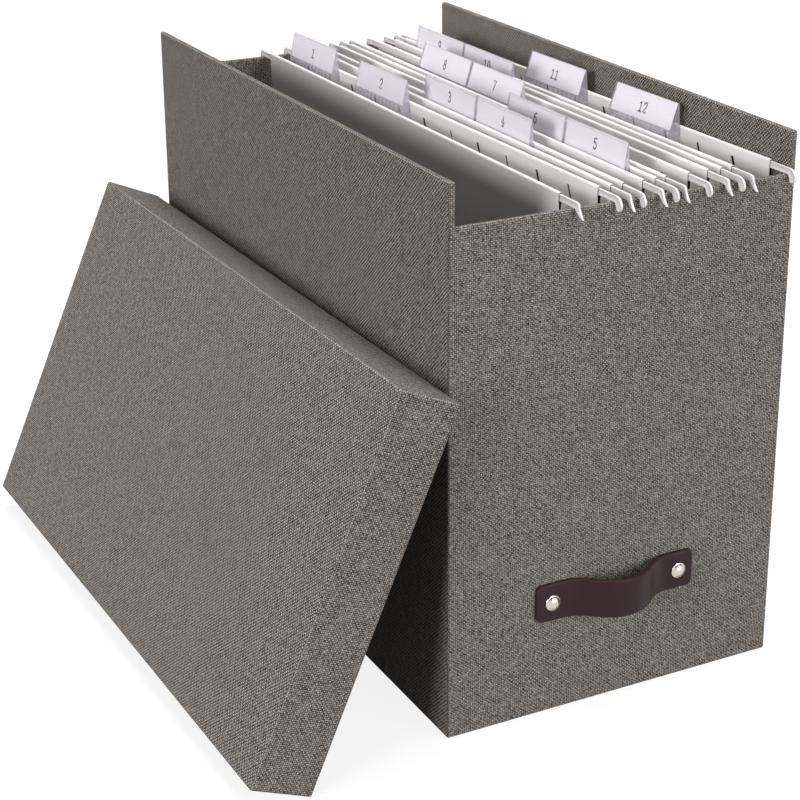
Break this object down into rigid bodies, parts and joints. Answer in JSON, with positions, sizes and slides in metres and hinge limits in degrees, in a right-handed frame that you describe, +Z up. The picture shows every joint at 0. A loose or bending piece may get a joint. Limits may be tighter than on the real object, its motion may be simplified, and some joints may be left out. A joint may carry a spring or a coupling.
{
  "type": "file box",
  "caption": "Open-topped desktop file box covered in woven grey-brown paper, with tabbed hanging folders, a riveted leather strap handle and a shallow lid leaning against its side.",
  "frame": {"origin": "middle of the box's underside, on the surface it stands on", "axes": "+Z up; +Y along the box's length, away from the end with the strap handle; +X across its width, away from the side that the lid leans on"},
  "size_m": [0.2997, 0.3713, 0.277],
  "materials": {
    "canvas_paper": "matte",
    "greyboard": "matte",
    "dark_paper": "matte",
    "leather": "satin",
    "nickel": "polished",
    "white_card": "matte",
    "white_plastic": "satin",
    "clear_plastic": "gloss",
    "label_paper": "matte"
  },
  "bodies": {
    "box": {"base_sheet": "dark_paper", "base_board": "greyboard", "front_end_board": "greyboard", "back_end_board": "greyboard", "left_side_board": "greyboard", "right_side_board": "greyboard", "outer_cover": "canvas_paper", "wall_lining": "dark_paper", "floor_lining": "dark_paper", "handle_strap": "leather", "handle_rivets": "nickel", "rivet_backs": "nickel"},
    "lid": {"lid_top_board": "greyboard", "lid_lower_skirt": "greyboard", "lid_upper_skirt": "greyboard", "lid_front_skirt": "greyboard", "lid_back_skirt": "greyboard", "lid_cover": "canvas_paper", "lid_lining": "dark_paper"},
    "folder_1": {"folder_1_card": "white_card", "folder_1_front_rail": "white_plastic", "folder_1_back_rail": "white_plastic", "folder_1_tabs": "clear_plastic", "folder_1_labels": "label_paper"},
    "folder_2": {"folder_2_card": "white_card", "folder_2_front_rail": "white_plastic", "folder_2_back_rail": "white_plastic", "folder_2_tabs": "clear_plastic", "folder_2_labels": "label_paper"},
    "folder_3": {"folder_3_card": "white_card", "folder_3_front_rail": "white_plastic", "folder_3_back_rail": "white_plastic", "folder_3_tabs": "clear_plastic", "folder_3_labels": "label_paper"},
    "folder_4": {"folder_4_card": "white_card", "folder_4_front_rail": "white_plastic", "folder_4_back_rail": "white_plastic", "folder_4_tabs": "clear_plastic", "folder_4_labels": "label_paper"},
    "folder_5": {"folder_5_card": "white_card", "folder_5_front_rail": "white_plastic", "folder_5_back_rail": "white_plastic", "folder_5_tabs": "clear_plastic", "folder_5_labels": "label_paper"},
    "folder_6": {"folder_6_card": "white_card", "folder_6_front_rail": "white_plastic", "folder_6_back_rail": "white_plastic", "folder_6_tabs": "clear_plastic", "folder_6_labels": "label_paper"}
  },
  "joints": [
    {"name": "folder_1_lift", "type": "slide", "parent": "box", "child": "folder_1", "axis": [0, 0, 1], "range_m": [0, 0.27]},
    {"name": "folder_2_lift", "type": "slide", "parent": "box", "child": "folder_2", "axis": [0, 0, 1], "range_m": [0, 0.27]},
    {"name": "folder_3_lift", "type": "slide", "parent": "box", "child": "folder_3", "axis": [0, 0, 1], "range_m": [0, 0.27]},
    {"name": "folder_4_lift", "type": "slide", "parent": "box", "child": "folder_4", "axis": [0, 0, 1], "range_m": [0, 0.27]},
    {"name": "folder_5_lift", "type": "slide", "parent": "box", "child": "folder_5", "axis": [0, 0, 1], "range_m": [0, 0.27]},
    {"name": "folder_6_lift", "type": "slide", "parent": "box", "child": "folder_6", "axis": [0, 0, 1], "range_m": [0, 0.27]},
    {"name": "lid_lift", "type": "slide", "parent": "box", "child": "lid", "axis": [0, 0, 1], "range_m": [0, 0.3]}
  ]
}
